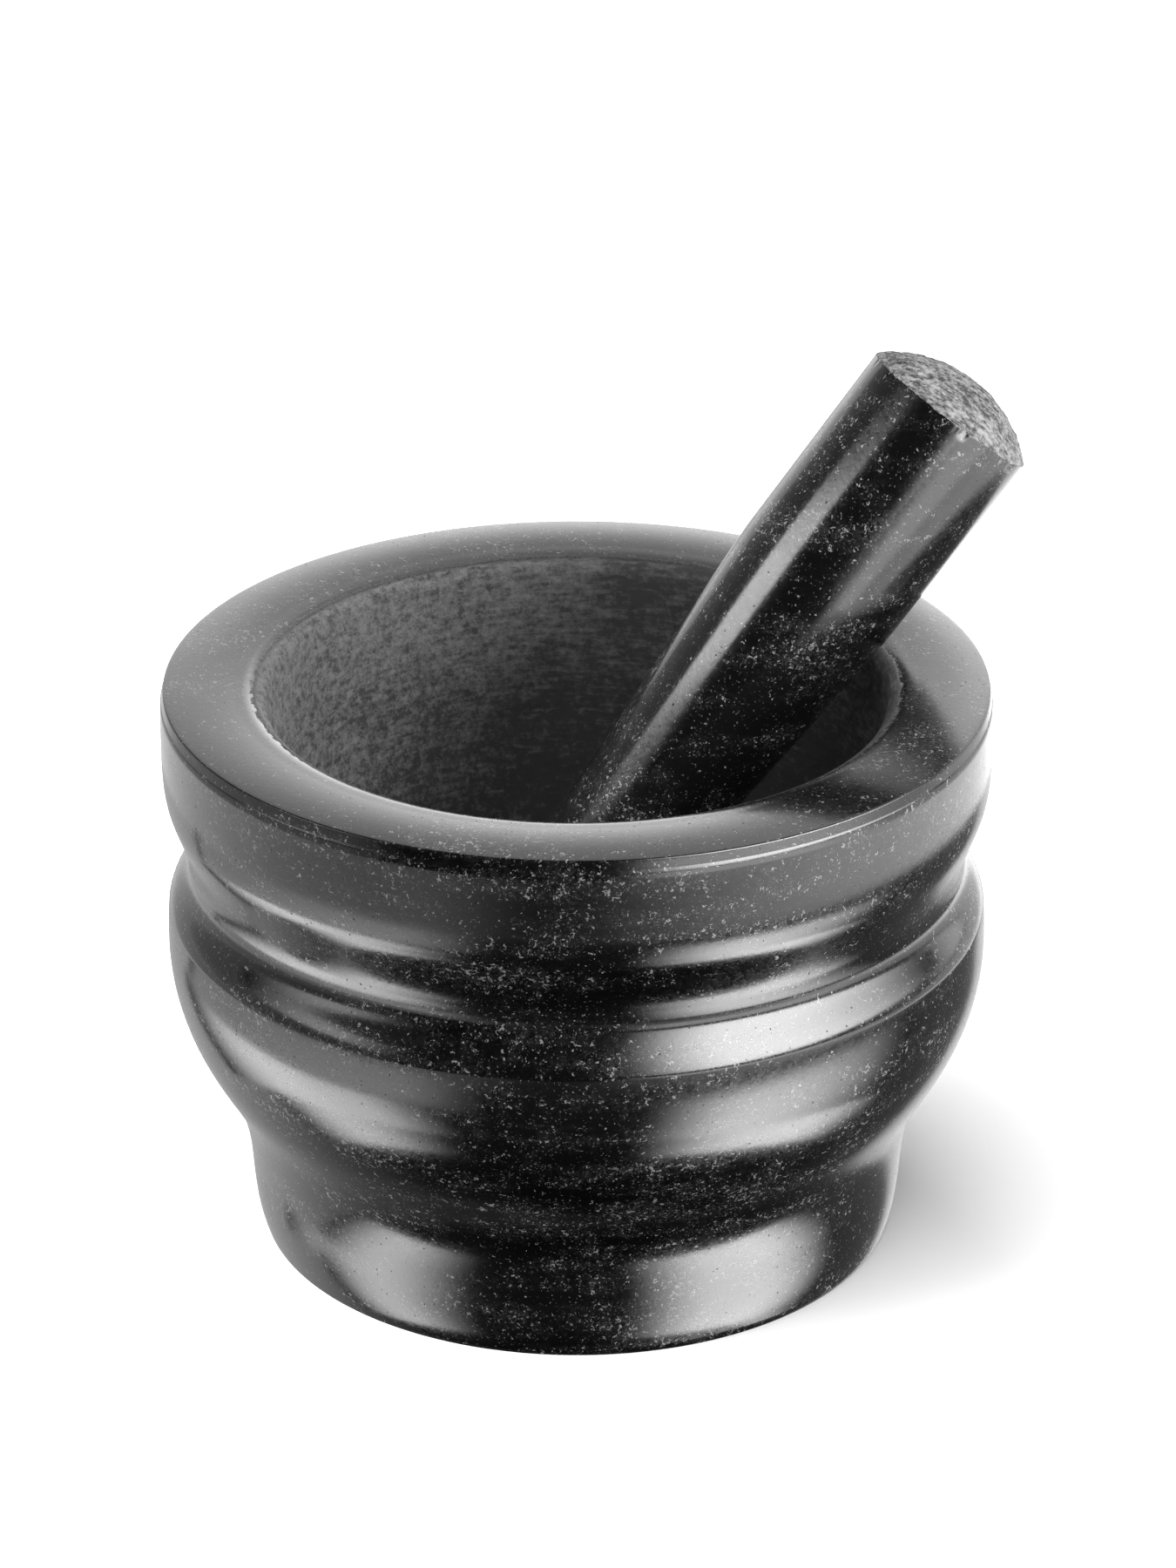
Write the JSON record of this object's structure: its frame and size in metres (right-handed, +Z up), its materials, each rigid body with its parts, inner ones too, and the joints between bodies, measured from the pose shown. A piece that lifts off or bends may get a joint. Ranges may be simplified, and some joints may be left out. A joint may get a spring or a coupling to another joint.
{
  "type": "mortar and pestle",
  "caption": "Lathe-turned polished granite mortar on a drum foot, with a loose tapered pestle leaning in its bowl.",
  "frame": {"origin": "centre of the flat underside of the foot, on the mortar's turning axis", "axes": "+Z up along the mortar's turning axis, out of the bowl; +X towards the side the pestle leans to"},
  "size_m": [0.166, 0.16, 0.1707],
  "materials": {
    "mortar_granite": "gloss",
    "pestle_granite": "gloss"
  },
  "bodies": {
    "mortar": {"mortar_bowl": "mortar_granite"},
    "pestle": {"pestle": "pestle_granite"}
  },
  "joints": [
    {"name": "pestle_lift", "type": "slide", "parent": "mortar", "child": "pestle", "axis": [0.5988, 0.1751, 0.7815], "range_m": [0, 0.13]}
  ]
}
